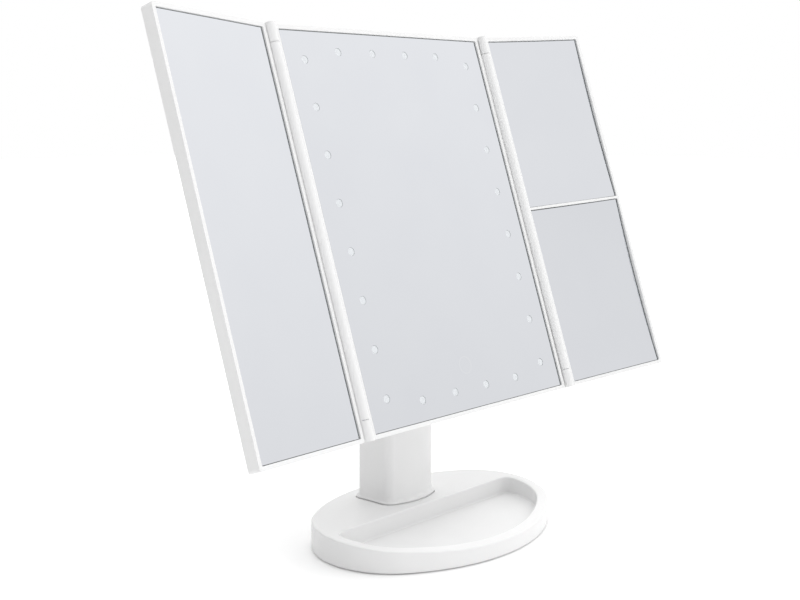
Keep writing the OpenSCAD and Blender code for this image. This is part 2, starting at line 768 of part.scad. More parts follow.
module centre_frame() {
    in_panel() color(white) difference() {
        union() {
            difference() {
                slab(0, mid_z, centre_w, panel_h, corner_r, 0, frame_d);
                slab(0, mid_z, open_w, open_h, 0.5, -1, frame_d + 1);
            }
            difference() {
                slab(0, mid_z, open_w + 1, open_h + 1, 0.5, flange_y, flange_back);
                slab(0, mid_z, 2 * (led_x - ring_half) - 2, 2 * (led_z - ring_half) - 2, 2, 0, frame_d);
            }
            for (p = rear_screw_at) bar_y(p[0], p[1], rear_boss_r, flange_y, cover_in_y);
            for (s = [-1, 1]) scale([s, 1, 1]) ears();
        }
        for (p = led_at) bar_y(p[0], p[1], window_d / 2 + 0.15, 0, frame_d);
        for (p = rear_screw_at) bar_y(p[0], p[1], 1.1 + thread_gap, flange_back + 1, centre_d);
        for (s = [-1, 1]) bar_z(s * hinge_x, -hinge_fwd, pin_d / 2 + 0.02, -1, panel_h + 1);
    }
}

// Two ears of the right-hand hinge, at the panel's bottom and top
module ears() {
    for (z = [0, panel_h - ear_l]) {
        bar_z(hinge_x, -hinge_fwd, barrel_r, z, z + ear_l);
        translate([centre_w / 2 - 1, 0.2, z]) cube([hinge_x - centre_w / 2 + 1, 5, ear_l]);
    }
}

module centre_mirror() {
    in_panel() color(silver) difference() {
        slab(0, mid_z, glass_w, glass_h, 0.8, recess, glass_back);
        for (p = led_at) bar_y(p[0], p[1], window_d / 2, 0, frame_d);
    }
}

// Four strips of tape, their middles on a rectangle of half size hw and hh about [x, z]
module tape_strips(x, z, hw, hh, w, y) {
    for (s = [-1, 1]) {
        translate([x + s * hw - w / 2, y, z - hh - w / 2]) cube([w, tape_t, 2 * hh + w]);
        translate([x - hw + w / 2 + 1, y, z + s * hh - w / 2]) cube([2 * hw - w - 2, tape_t, w]);
    }
}

module centre_tape() {
    in_panel() color(tape_colour) tape_strips(0, mid_z, glass_w / 2 - 5, glass_h / 2 - 4, 6, glass_back);
}

module light_guide() {
    in_panel() color(milky) {
        light_zone(flange_back, flange_back + guide_t);
        for (p = led_at) bar_y(p[0], p[1], window_d / 2 - 0.05, recess + window_sink, flange_back + eps);
    }
}

module led_board() {
    in_panel() color(white) light_zone(led_board_y, led_board_back);
}

module led_chips() {
    in_panel() color([0.96, 0.9, 0.5]) for (p = led_at)
        translate([p[0] - 1.75, chip_y, p[1] - 1.4]) cube([3.5, chip_t, 2.8]);
}

module touch_pad() {
    in_panel() color(steel) difference() {
        bar_y(0, touch_z, 4.5, glass_back, control_y);
        bar_y(0, touch_z, 3.3, glass_back + 0.5, control_y + 1);
    }
}

module control_board() {
    in_panel() color(board_green) difference() {
        slab(0, control_z, control_w, control_h, 1, control_y, control_back);
        for (p = control_post_at) bar_y(p[0], p[1], 0.8, 0, centre_d);
    }
}

module control_parts() {
    in_panel() {
        color(black) translate([-6, control_back, control_z - 3]) cube([8, 1.4, 6]);
        color(steel) translate([-13, control_back, control_z - 9]) cube([6, 2, 4]);
        color(steel) translate([5, control_back, control_z - 1]) cube([4, 2, 7]);
        color(black) bar_y(12, control_z - 5, 2.4, control_back, control_back + 2.6);
    }
}

module panel_wires() {
    wire_r = 0.5;
    wire_y = control_back + 2 + wire_r;
    in_panel() for (s = [-1, 1]) color(s > 0 ? [0.7, 0.1, 0.1] : black) {
        wire([[7 + s, wire_y, control_z + 3], [7 + s, wire_y, cable_hole_z - 8], [s, wire_y, cable_hole_z],
            [s, centre_d + bracket_t - 0.6, cable_hole_z]], wire_r);
        wire([[-10 + s, wire_y, control_z - 7], [-10 + s, wire_y, mid_z - led_z + 5],
            [-10 + s, led_board_back + wire_r, mid_z - led_z + 3]], wire_r);
    }
}

module rear_cover() {
    tongue_y = frame_d - 1.6;
    in_panel() color(white) difference() {
        union() {
            difference() {
                slab(0, mid_z, centre_w, panel_h, corner_r, frame_d, centre_d);
                slab(0, mid_z, open_w - 2 * fit_gap - 2.4, open_h - 2 * fit_gap - 2.4, 0.5, frame_d - 1, cover_in_y);
            }
            difference() {
                slab(0, mid_z, open_w - 2 * fit_gap, open_h - 2 * fit_gap, 0.5, tongue_y, frame_d + eps);
                slab(0, mid_z, open_w - 2 * fit_gap - 2.4, open_h - 2 * fit_gap - 2.4, 0.5, 0, frame_d + 1);
            }
            // Ribs that press on the ring of lights
            for (s = [-1, 1]) {
                translate([s * (led_x + 2) - 0.7, led_board_back, mid_z - led_z + rib_in])
                    cube([1.4, cover_in_y - led_board_back + eps, 2 * (led_z - rib_in)]);
                translate([rib_in - led_x, led_board_back, mid_z + s * (led_z + 2) - 0.7])
                    cube([2 * (led_x - rib_in), cover_in_y - led_board_back + eps, 1.4]);
            }
            for (p = control_post_at) bar_y(p[0], p[1], 2.2, control_back, cover_in_y + eps);
            for (p = bracket_screw_at) bar_y(p[0], p[1], 3.2, centre_d - 6, cover_in_y + eps);
        }
        for (p = rear_screw_at) {
            bar_y(p[0], p[1], 1.6, cover_in_y - 1, centre_d + 1);
            bar_y(p[0], p[1], 2.7, centre_d - 1.2, centre_d + 1);
        }
        for (p = bracket_screw_at) bar_y(p[0], p[1], 1.4 + thread_gap, bracket_pilot_y, centre_d + 1);
        bar_y(0, cable_hole_z, cable_hole_r, cover_in_y - 1, centre_d + 1);
    }
}

module rear_screws() {
    in_panel() color(steel) for (p = rear_screw_at) screw_y(p[0], p[1], 2.5, 1.1, centre_d - 1.2, 1.1, flange_back + 1.3);
}

// Two pins of a hinge at x, through the ears into the wing's bushes
module hinge_pins(x) {
    in_panel() color(steel) {
        bar_z(x, -hinge_fwd, pin_d / 2, pin_end, pin_end + pin_l);
        bar_z(x, -hinge_fwd, pin_d / 2, panel_h - pin_end - pin_l, panel_h - pin_end);
    }
}
module left_hinge_pins() { hinge_pins(-hinge_x); }
module right_hinge_pins() { hinge_pins(hinge_x); }

// ---------- Wings ----------
// A wing's own axes: X from the hinge axis to the free edge, Y back, Z up; its lip lies at hinge_fwd

// Frame with its hinge barrel; the flange that carries the mirror starts at depth f
module wing_frame(f) {
    y0 = hinge_fwd;
    difference() {
        union() {
            difference() {
                slab((wing_start + wing_w) / 2, mid_z, wing_w - wing_start, panel_h, corner_r, y0, y0 + frame_d);
                slab(wing_mid, mid_z, wing_open_w, open_h, 0.5, y0 - 1, y0 + frame_d + 1);
            }
            difference() {
                slab(wing_mid, mid_z, wing_open_w + 1, open_h + 1, 0.5, y0 + f, y0 + f + flange_t);
                slab(wing_mid, mid_z, wing_open_w - 2 * wing_flange, open_h - 2 * wing_flange, 1,
                    y0, y0 + frame_d);
            }
            bar_z(0, 0, barrel_r, barrel_z0, barrel_z1);
            translate([0, 0.9, barrel_z0]) cube([wing_start + 0.5, 4.6, barrel_z1 - barrel_z0]);
        }
        for (z = [barrel_z0 - 1, barrel_z1 - bush_l - 0.2]) bar_z(0, 0, bush_r + 0.02, z, z + bush_l + 1.2);
    }
}

// Back cover of a wing, its locating ribs standing on the flange that ends at depth f
module wing_cover(f) {
    y1 = hinge_fwd + frame_d;
    slab(wing_mid, mid_z, wing_open_w - 2 * fit_gap, open_h - 2 * fit_gap, 0.5, y1 - wing_cover_t, y1);
    difference() {
        slab(wing_mid, mid_z, wing_open_w - 2, open_h - 2, 0.5, hinge_fwd + f, y1 - wing_cover_t + eps);
        slab(wing_mid, mid_z, wing_open_w - 4.4, open_h - 4.4, 0.5, 0, y1 - wing_cover_t);
    }
}

module wing_bushes() {
    for (z = [barrel_z0 + 0.05, barrel_z1 - bush_l - 0.05]) difference() {
        bar_z(0, 0, bush_r, z, z + bush_l);
        bar_z(0, 0, pin_d / 2 + shaft_gap, z - 1, z + bush_l + 1);
    }
}

module left_wing_frame() {
    in_left_wing() color(white) wing_frame(flange_y);
}

module left_wing_mirror() {
    in_left_wing() color(silver)
        slab(wing_mid, mid_z, wing_open_w - 2 * glass_gap, glass_h, 0.8, hinge_fwd + recess, hinge_fwd + glass_back);
}

module left_wing_tape() {
    in_left_wing() color(tape_colour)
        tape_strips(wing_mid, mid_z, wing_open_w / 2 - 3.6, open_h / 2 - 3.6, 4, hinge_fwd + glass_back);
}

module left_wing_cover() {
    in_left_wing() color(white) wing_cover(flange_back);
}

module left_hinge_bushes() {
    in_left_wing() color(nylon) wing_bushes();
}

module right_wing_frame() {
    f = hinge_fwd + lens_flange_y;
    in_right_wing() color(white) {
        wing_frame(lens_flange_y);
        // Bar between the two mirrors, on its own flange
        translate([wing_in - 1, hinge_fwd, bar_z - bar_w / 2]) cube([wing_open_w + 2, lens_flange_y + flange_t, bar_w]);
        translate([wing_in - 1, f, bar_z - bar_w / 2 - 4]) cube([wing_open_w + 2, flange_t, bar_w + 8]);
    }
}

// Magnifying mirror whose front is hollowed by a sphere of radius r that just leaves its corners
module lens(z0, h, r) {
    w = wing_open_w - 2 * glass_gap;
    hh = h - 2 * glass_gap;
    reach = norm([w, hh]) / 2;
    front = hinge_fwd + recess;
    edge = sqrt(pow(r, 2) - pow(reach, 2));
    difference() {
        slab(wing_mid, z0 + h / 2, w, hh, 0.8, front, front + lens_t);
        translate([wing_mid, front, z0 + h / 2]) rotate([-90, 0, 0]) rotate_extrude($fn = 96)
            polygon([[0, -5], for (i = [0 : lens_rings]) let (x = reach * i / lens_rings) [x, sqrt(pow(r, 2) - pow(x, 2)) - edge],
                [reach + 3, 0], [reach + 3, -5]]);
    }
}

module right_upper_mirror() {
    in_right_wing() color(silver) lens(upper_z0, upper_h, upper_lens_r);
}

module right_lower_mirror() {
    in_right_wing() color(silver) lens(lip, lower_h, lower_lens_r);
}

module right_wing_tape() {
    in_right_wing() color(tape_colour) for (p = [[lip, lower_h], [upper_z0, upper_h]])
        tape_strips(wing_mid, p[0] + p[1] / 2, wing_open_w / 2 - 2.6, p[1] / 2 - 2.6, 3,
            hinge_fwd + recess + lens_t);
}

module right_wing_cover() {
    in_right_wing() color(white) wing_cover(lens_flange_y + flange_t);
}

module right_hinge_bushes() {
    in_right_wing() color(nylon) wing_bushes();
}

base_shell();
base_plate();
ballast_plate();
base_feet();
base_screws();
neck_shell();
neck_back();
neck_screws();
neck_foot_screws();
battery_cells();
battery_springs();
battery_plates();
battery_door();
power_board();
usb_socket();
neck_wires();
switch_body();
switch_slider();
tilt_pin();
tilt_nut();
tilt_washers();
hinge_caps();
tilt_bracket();
bracket_screws();
rear_cover();
rear_screws();
centre_frame();
centre_mirror();
centre_tape();
light_guide();
led_board();
led_chips();
touch_pad();
control_board();
control_parts();
panel_wires();
left_hinge_pins();
right_hinge_pins();
left_wing_frame();
left_wing_mirror();
left_wing_tape();
left_wing_cover();
left_hinge_bushes();
right_wing_frame();
right_upper_mirror();
right_lower_mirror();
right_wing_tape();
right_wing_cover();
right_hinge_bushes();
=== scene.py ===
"""A trifold vanity mirror: white moulded plastic, silvered glass and a ring of small lights.

Metres, +Z up, the user on the -Y side. The sections follow the mirror as it is put together.
"""
import json
import math

import bmesh
import bpy
from mathutils import Euler, Matrix, Vector


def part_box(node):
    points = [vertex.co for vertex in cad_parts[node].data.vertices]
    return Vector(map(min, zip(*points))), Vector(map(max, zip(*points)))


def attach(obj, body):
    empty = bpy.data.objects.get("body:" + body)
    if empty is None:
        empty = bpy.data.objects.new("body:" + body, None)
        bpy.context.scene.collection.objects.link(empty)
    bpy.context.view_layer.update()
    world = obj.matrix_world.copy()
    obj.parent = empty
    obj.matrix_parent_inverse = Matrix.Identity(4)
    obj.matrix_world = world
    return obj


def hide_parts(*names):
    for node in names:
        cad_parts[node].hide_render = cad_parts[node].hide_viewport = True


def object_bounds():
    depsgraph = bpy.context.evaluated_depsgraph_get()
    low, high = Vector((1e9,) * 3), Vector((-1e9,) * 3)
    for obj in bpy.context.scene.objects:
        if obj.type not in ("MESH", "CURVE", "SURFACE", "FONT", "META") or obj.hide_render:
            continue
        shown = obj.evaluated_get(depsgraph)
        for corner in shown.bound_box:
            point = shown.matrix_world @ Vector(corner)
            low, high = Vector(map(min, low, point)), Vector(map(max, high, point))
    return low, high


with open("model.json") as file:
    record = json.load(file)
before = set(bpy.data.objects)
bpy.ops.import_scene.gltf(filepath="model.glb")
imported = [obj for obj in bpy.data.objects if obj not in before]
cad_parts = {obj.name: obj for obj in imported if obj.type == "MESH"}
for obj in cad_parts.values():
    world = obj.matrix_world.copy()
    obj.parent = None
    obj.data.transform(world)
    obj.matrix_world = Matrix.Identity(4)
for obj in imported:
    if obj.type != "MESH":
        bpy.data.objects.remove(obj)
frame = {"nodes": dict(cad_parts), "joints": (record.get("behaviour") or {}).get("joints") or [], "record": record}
cad_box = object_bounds()
MM = 0.001
scene = bpy.context.scene

# ---------- Camera ----------
# A long lens at the mirror's front left, at the height of its upper half, solved from the panels' corners.

camera_data = bpy.data.cameras.new("Studio camera")
camera_data.lens = 54.31
camera_data.sensor_width = 36
camera = bpy.data.objects.new("Studio camera", camera_data)
camera.location = (-0.5528, -0.4997, 0.2644)
camera.rotation_euler = Euler((math.radians(90 - 8.76), 0, math.radians(-46.23)))
scene.collection.objects.link(camera)
scene.camera = camera
scene.view_settings.view_transform = "Standard"

# ---------- White table ----------
# A matt white sheet of paper. It keeps the soft shadow of the base and burns out to white further away.


def linear(code):
    """Linear RGBA of an sRGB hex colour."""
    parts = [int(code[i:i + 2], 16) / 255 for i in (0, 2, 4)]
    return [p / 12.92 if p <= 0.04045 else ((p + 0.055) / 1.055) ** 2.4 for p in parts] + [1]


def add(tree, kind, inputs=None, **settings):
    """Adds a shader node with its settings; an input is a value, or a socket to link."""
    node = tree.nodes.new("ShaderNode" + kind)
    for name, value in settings.items():
        setattr(node, name, value)
    for name, value in (inputs or {}).items():
        if isinstance(value, bpy.types.NodeSocket):
            tree.links.new(value, node.inputs[name])
        else:
            node.inputs[name].default_value = value
    return node


def calc(tree, operation, *values):
    """The result of a Math node on some values or sockets."""
    return add(tree, "Math", dict(enumerate(values)), operation=operation).outputs[0]


def remap(tree, value, low, high, start=0.0, end=1.0):
    """A value's way from start to end laid out from low to high, and held there."""
    return add(tree, "MapRange", {"Value": value, "From Min": start, "From Max": end,
                                  "To Min": low, "To Max": high}).outputs[0]


def blend(tree, share, first, second):
    """The colour that has this share of the second; each is a hex colour or a socket."""
    first, second = [linear(colour) if isinstance(colour, str) else colour for colour in (first, second)]
    return add(tree, "Mix", {0: share, 6: first, 7: second}, data_type="RGBA").outputs[2]


def new_material(name, inputs):
    """A named material with a Principled shader that has these inputs; gives its tree and shader too."""
    material = bpy.data.materials.new(name)
    material.use_nodes = True
    tree = material.node_tree
    tree.nodes.clear()
    shader = add(tree, "BsdfPrincipled", inputs)
    add(tree, "OutputMaterial", {"Surface": shader.outputs[0]})
    return material, tree, shader


def mesh_object(name, work, *materials):
    """Makes a linked object of a bmesh, with these materials in its slots."""
    mesh = bpy.data.meshes.new(name)
    work.to_mesh(mesh)
    work.free()
    for material in materials:
        mesh.materials.append(material)
    made = bpy.data.objects.new(name, mesh)
    scene.collection.objects.link(made)
    return made


# Uncoated paper: chalk white, no gloss; a fleck 2 mm wide stands for its felt marks.
paper, tree, shader = new_material("White_paper", {"Roughness": 0.9, "Specular IOR Level": 0.1})
here = add(tree, "TexCoord").outputs["Object"]
fleck = add(tree, "TexNoise", {"Vector": here, "Scale": 1 / (2 * MM)})
tree.links.new(blend(tree, fleck.outputs["Fac"], "f6f6f6", "fcfcfc"), shader.inputs["Base Color"])
# The camera sees it burn out from 100 mm to 400 mm away from the base's middle.
away = add(tree, "VectorMath", {0: here}, operation="LENGTH")
glow = add(tree, "Emission", {"Strength": remap(tree, away.outputs["Value"], 0.1, 1.0, 100 * MM, 400 * MM)})
lit = add(tree, "AddShader", {0: shader.outputs[0], 1: glow.outputs[0]})
ray = add(tree, "LightPath")
seen = add(tree, "MixShader", {0: ray.outputs["Is Camera Ray"], 1: shader.outputs[0], 2: lit.outputs[0]})
tree.links.new(seen.outputs[0], tree.nodes["Material Output"].inputs["Surface"])

work = bmesh.new()
bmesh.ops.create_grid(work, x_segments=2, y_segments=2, size=6)
mesh_object("Table", work, paper)

# ---------- Studio light ----------
# A white room that is brighter overhead, in its far right corner and a little at the front, and dimmer at
# the left, and a weak soft lamp. What the glass and the gloss mirror is brighter higher up and at the right.

world = bpy.data.worlds.new("White studio")
scene.world = world
world.use_nodes = True
sky = world.node_tree
sky.nodes.clear()
ray = add(sky, "LightPath")
toward = add(sky, "TexCoord").outputs["Generated"]
parts = add(sky, "SeparateXYZ", {0: toward})
climb = remap(sky, parts.outputs["Z"], 0.52, 0.71, 0.05, 0.55)
rightward = calc(sky, "MAXIMUM", parts.outputs["X"], 0.4)
room_level = calc(sky, "MULTIPLY_ADD", rightward, 0.3, climb)
fill_level = 0.78
# Where the room's light differs from its plain level: the way there, how narrow the place is, by how much.
for aim, focus, strength in (((0.7, 0.7, 0.25), 3, 0.6), ((0, 0, 1), 4, 1.0),
                             ((0.35, -0.9, 0.25), 2, 0.15), ((-0.95, 0.3, 0.1), 2, -0.62)):
    aimed = add(sky, "VectorMath", {0: toward, 1: Vector(aim).normalized()}, operation="DOT_PRODUCT")
    beam = calc(sky, "POWER", calc(sky, "MAXIMUM", aimed.outputs["Value"], 0.0), focus)
    fill_level = calc(sky, "MULTIPLY_ADD", beam, strength, fill_level)
room, fill, backdrop = [add(sky, "Background", {"Color": linear("ffffff"), "Strength": level}).outputs[0]
                        for level in (room_level, fill_level, 1.0)]
mirrored = calc(sky, "MAXIMUM", ray.outputs["Is Glossy Ray"], ray.outputs["Is Transmission Ray"])
bounced = add(sky, "MixShader", {0: mirrored, 1: fill, 2: room})
whole = add(sky, "MixShader", {0: ray.outputs["Is Camera Ray"], 1: bounced.outputs[0], 2: backdrop})
add(sky, "OutputWorld", {"Surface": whole.outputs[0]})

lamp_data = bpy.data.lights.new("Soft box", "AREA")
lamp_data.shape = "DISK"
lamp_data.size = 1.1
lamp_data.energy = 2.2
lamp = bpy.data.objects.new("Soft box", lamp_data)
lamp.location = (0.95, -0.85, 1.35)
lamp.rotation_euler = (Vector((0, 0, 0.1)) - lamp.location).to_track_quat("-Z", "Y").to_euler()
lamp.visible_glossy = False
scene.collection.objects.link(lamp)

# ---------- Base housing ----------
# One injection-moulded ABS shell with an oval outline, a gently arched top and a D-shaped tray.
# Its mould was polished, so it is glossy, and every outer edge carries a small radius.

BODY_OF = {node: body for body, nodes in frame["record"]["behaviour"]["bodies"].items() for node in nodes}
WELD = 0.002 * MM
OFF_PLANE = 0.003 * MM
CORNER = math.radians(28)
NARROW = 2.5


def stands_for(made, node):
    """Lets a piece stand in for a CAD node: it rides on the node's body, and the node is hidden."""
    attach(made, BODY_OF[node])
    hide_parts(node)


def finish(material, *nodes):
    """Gives carried-over CAD nodes a material."""
    for node in nodes:
        frame["nodes"][node].material_slots[0].material = material


def merged_copy(node):
    """A bmesh of a CAD node, its loose triangles joined and its flat faces whole again."""
    work = bmesh.new()
    work.from_mesh(frame["nodes"][node].data)
    bmesh.ops.remove_doubles(work, verts=work.verts[:], dist=WELD)
    bmesh.ops.dissolve_limit(work, angle_limit=math.radians(0.05), verts=work.verts[:], edges=work.edges[:])
    bmesh.ops.triangulate(work, faces=[face for face in work.faces if len(face.verts) > 4])
    return work


def is_corner(edge):
    """Whether two faces meet at an angle that a round surface wouldn't have."""
    return len(edge.link_faces) == 2 and edge.calc_face_angle() > CORNER


def rim_of(region):
    """The edges that a set of faces ends at."""
    return [edge for edge in {edge for face in region for edge in face.edges}
            if sum(face in region for face in edge.link_faces) == 1]


def flat_region(seed):
    """The faces that lie in one plane with a face and hang together with it."""
    region = {seed}
    reached = [seed]
    while reached:
        for edge in reached.pop().edges:
            for face in edge.link_faces:
                level = all(abs((vert.co - seed.verts[0].co).dot(seed.normal)) < OFF_PLANE
                            for vert in face.verts)
                if face not in region and level:
                    region.add(face)
                    reached.append(face)
    return region


def lay_borders(work, width, turns):
    """Gives the flat faces beside an edge that turns an even border, and fills them afresh.

    A face that is less than NARROW borders broad stays as it is.
    """
    done = set()
    for seed in sorted(work.faces, key=lambda face: -face.calc_area()):
        if not seed.is_valid or seed in done:
            continue
        region = flat_region(seed)
        done |= region
        rim = rim_of(region)
        # Twice the area over the outline's length: for a long strip that is its breadth.
        breadth = 2 * sum(face.calc_area() for face in region) / sum(edge.calc_length() for edge in rim)
        if len(region) < 2 or breadth < NARROW * width or not any(turns(edge) for edge in rim):
            continue
        normal = seed.normal.copy()
        border = bmesh.ops.inset_region(work, faces=list(region), thickness=width, use_even_offset=True,
                                        use_boundary=True)["faces"]
        done |= set(border)
        inner_rim = rim_of(region)
        bmesh.ops.delete(work, geom=list(region), context="FACES_KEEP_BOUNDARY")
        filled = bmesh.ops.triangle_fill(work, edges=inner_rim, use_beauty=True, normal=normal)["geom"]
        for face in filled:
            if isinstance(face, bmesh.types.BMFace):
                done.add(face)
                if face.normal.dot(normal) < 0:
                    face.normal_flip()


def weigh_normals(made):
    """Keeps the large faces of a piece flat to the eye beside its small round ones."""
    made.modifiers.new("Flat faces", "WEIGHTED_NORMAL").keep_sharp = True


def rounded(node, radius, share, material, place=None, segments=3, work=None):
    """Makes a copy of a CAD node stand in for it, its mould edges rounded.

    share gives the part of the radius that an edge gets, from its middle's x, y and z, in millimetres
    along the axes of place. work is the copy, where it has been shaped already.
    """
    back = (place or Matrix.Identity(4)).inverted()
    work = work or merged_copy(node)

    def part(edge):
        """The part of the radius that an edge gets."""
        middle = back @ ((edge.verts[0].co + edge.verts[1].co) / 2) / MM
        return share(*middle) if is_corner(edge) else 0.0

    lay_borders(work, 1.15 * radius, part)
    weight = work.edges.layers.float.new("bevel_weight_edge")
    for edge in work.edges:
        edge[weight] = part(edge)
        edge.smooth = edge[weight] > 0 or not is_corner(edge)
    for face in work.faces:
        face.smooth = True
    made = mesh_object(node + "_rounded", work, material)
    bevel = made.modifiers.new("Mould radius", "BEVEL")
    bevel.width = radius
    bevel.segments = segments
    bevel.limit_method = "WEIGHT"
    bevel.use_clamp_overlap = False
    weigh_normals(made)
    stands_for(made, node)
    return made


def noise(tree, feature, detail=2.0, coords=None):
    """Noise on Object coordinates whose blobs are feature metres across."""
    coords = coords or add(tree, "TexCoord").outputs["Object"]
    return add(tree, "TexNoise", {"Vector": coords, "Scale": 1 / feature, "Detail": detail}).outputs["Fac"]


def moulded_plastic(name, dark, light, roughness, grain, depth, ior=1.53):
    """Moulded plastic of two close tones that drift over 30 mm, its skin of this grain and depth."""
    material, tree, shader = new_material(name, {"IOR": ior})
    tree.links.new(blend(tree, noise(tree, 30 * MM), dark, light), shader.inputs["Base Color"])
    skin = noise(tree, grain, detail=3.0)
    tree.links.new(remap(tree, skin, roughness - 0.04, roughness + 0.05), shader.inputs["Roughness"])
    bump = add(tree, "Bump", {"Strength": 0.35, "Distance": depth, "Height": skin})
    tree.links.new(bump.outputs[0], shader.inputs["Normal"])
    return material


# Polished ABS: an even white with a wet gloss; the plastic's flow leaves a ripple 4 mm long.
gloss_abs = moulded_plastic("ABS_polished_white", "f0f0f0", "f4f4f4", 0.20, 4 * MM, 0.004 * MM)
# Spark-eroded ABS, on faces that turn away from the user: a satin skin with a 0.4 mm grain.
satin_abs = moulded_plastic("ABS_satin_white", "eeeeee", "f2f2f2", 0.42, 0.4 * MM, 0.012 * MM)

PEAK_Z = 17.2 * MM
PEAK_Y = 21.7 * MM
ARCH_R = 543 * MM
ARCH_STEP = 6 * MM
TRAY_FLOOR_Z = 5.6 * MM
TRAY_END_Y = 7 * MM
NECK_AREA_X = 27 * MM
NECK_AREA_Y = (8 * MM, 55 * MM)
RIM_R = 1.1 * MM
RIM_DEPTH = 1.2 * MM
NECK_OPENING_R = 0.3 * MM
TRAY_FLOOR_R = 1.0 * MM


def arch_drop(y):
    """How far the arched top lies under its peak at depth y."""
    return ARCH_R - math.sqrt(ARCH_R ** 2 - (y - PEAK_Y) ** 2)


def by_neck(at):
    """Whether a place on the base's top is by the opening for the neck."""
    return abs(at.x) < NECK_AREA_X and NECK_AREA_Y[0] < at.y < NECK_AREA_Y[1]


def ring_edges(work, height, keep):
    """The corner edges of a bmesh that lie level at a height and whose middle passes keep."""
    found = []
    for edge in work.edges:
        middle = (edge.verts[0].co + edge.verts[1].co) / 2
        level = all(abs(vert.co.z - height) < 0.02 * MM for vert in edge.verts)
        if level and is_corner(edge) and keep(middle):
            found.append(edge)
    return found


def round_edges(work, edges, radius, segments):
    """Rounds some edges of a bmesh."""
    bmesh.ops.bevel(work, geom=edges, offset=radius, segments=segments, affect="EDGES", profile=0.5,
                    material=-1)


def cut(work, faces, through, across):
    """Cuts some faces of a bmesh along a plane, and leaves both sides."""
    geom = faces + list({part for face in faces for part in face.edges[:] + face.verts[:]})
    bmesh.ops.bisect_plane(work, geom=geom, dist=0.001 * MM, plane_co=through, plane_no=across)


def base_housing():
    """The base, its top laid flat while its rims are rounded, cut across and arched again."""
    work = bmesh.new()
    work.from_mesh(frame["nodes"]["base_shell"].data)
    bmesh.ops.remove_doubles(work, verts=work.verts[:], dist=WELD)
    for vert in work.verts:
        if abs(vert.co.z - PEAK_Z + arch_drop(vert.co.y)) < 0.05 * MM:
            vert.co.z = PEAK_Z
    bmesh.ops.dissolve_limit(work, angle_limit=math.radians(0.02), verts=work.verts[:], edges=work.edges[:])
    bmesh.ops.dissolve_degenerate(work, dist=0.005 * MM, edges=work.edges[:])
    round_edges(work, ring_edges(work, PEAK_Z, lambda at: not by_neck(at)), RIM_R, 4)
    round_edges(work, ring_edges(work, PEAK_Z, by_neck), NECK_OPENING_R, 2)
    round_edges(work, ring_edges(work, TRAY_FLOOR_Z, lambda at: at.y < TRAY_END_Y), TRAY_FLOOR_R, 4)
    rim_low = PEAK_Z - RIM_DEPTH
    depth = cad_box[0].y
    while depth < cad_box[1].y:
        top = [face for face in work.faces if all(vert.co.z > rim_low for vert in face.verts)]
        cut(work, top, (0, depth, 0), (0, 1, 0))
        depth += ARCH_STEP
    for vert in work.verts:
        if vert.co.z > rim_low - 0.1 * MM:
            vert.co.z -= arch_drop(vert.co.y)
    for edge in work.edges:
        edge.smooth = not is_corner(edge)
    for face in work.faces:
        face.smooth = True
    made = mesh_object("base_housing", work, gloss_abs)
    weigh_normals(made)
    stands_for(made, "base_shell")


base_housing()

# ---------- Base's underside ----------
# A satin ABS bottom cover, held by four screws, with four glued rubber feet and a steel weight above it.

FOOT_H = 1


def below(limit):
    """The share for edges that lie lower than a height, in millimetres."""
    return lambda x, y, z: 1.0 if z < limit else 0.0


rounded("base_plate", 0.4 * MM, below(FOOT_H + 0.1), satin_abs)


def metal(name, dark, light, roughness, grain, stretch=(1, 1, 1), depth=0.003 * MM):
    """A metal of two close tones; its marks are grain metres across, longer where stretch is under 1."""
    material, tree, shader = new_material(name, {"Metallic": 1.0})
    place = add(tree, "Mapping", {"Vector": add(tree, "TexCoord").outputs["Object"], "Scale": stretch})
    marks = noise(tree, grain, detail=3.0, coords=place.outputs[0])
    tree.links.new(blend(tree, marks, dark, light), shader.inputs["Base Color"])
    tree.links.new(remap(tree, marks, roughness - 0.07, roughness + 0.08), shader.inputs["Roughness"])
    bump = add(tree, "Bump", {"Strength": 0.4, "Distance": depth, "Height": marks})
    tree.links.new(bump.outputs[0], shader.inputs["Normal"])
    return material


# Zinc-plated steel: bright, a little blue, with plating crystals drawn 0.5 mm across so that they show.
zinc_steel = metal("Steel_zinc_plated", "a9adb3", "c6c9cd", 0.28, 0.5 * MM)
# Hot-rolled steel: dark grey mill scale with streaks 6 mm long and 1 mm wide along the rolling.
rolled_steel = metal("Steel_hot_rolled", "5b5e63", "7a7d82", 0.55, 1 * MM, (1 / 6, 1, 1), 0.02 * MM)
# Moulded rubber: matt grey with a fine bloom.
rubber = moulded_plastic("Rubber_moulded_grey", "6c6c6e", "7c7c7e", 0.78, 0.6 * MM, 0.02 * MM, 1.52)
finish(rolled_steel, "ballast_plate")
rounded("base_feet", 0.6 * MM, below(0.1), rubber)
rounded("base_screws", 0.2 * MM, below(FOOT_H + 0.2), zinc_steel, segments=2)
finish(zinc_steel, "neck_foot_screws")

# ---------- Neck ----------
# Two ABS mouldings: the bowed front with the two hinge cheeks, and a flat rear panel screwed into it.

NECK_HALF_X = 21.5
NECK_BACK_Y = 49
PIN_Y = 32
PIN_Z = 171.8
CAP_R = 6.5
SKIRT_LOW_Z = 15.2
SKIRT_HIGH_Z = 20.3
CREST_LOW_Z = 19
CREST_LIFT = 1.5
SCREW_R = 0.12 * MM


def neck_edge(x, y, z):
    """The rims of the two round recesses that the pin's caps sit in."""
    at_cap = math.hypot(y - PIN_Y, z - PIN_Z) < CAP_R + 0.2
    return 1.0 if at_cap and abs(x) > NECK_HALF_X - 0.05 else 0.0


def skirt_faces(work):
    """The sloping faces of the neck's flared foot."""
    return [face for face in work.faces if abs(face.normal.z) < 0.9 and all(
        SKIRT_LOW_Z - 0.05 < vert.co.z / MM < SKIRT_HIGH_Z for vert in face.verts)]


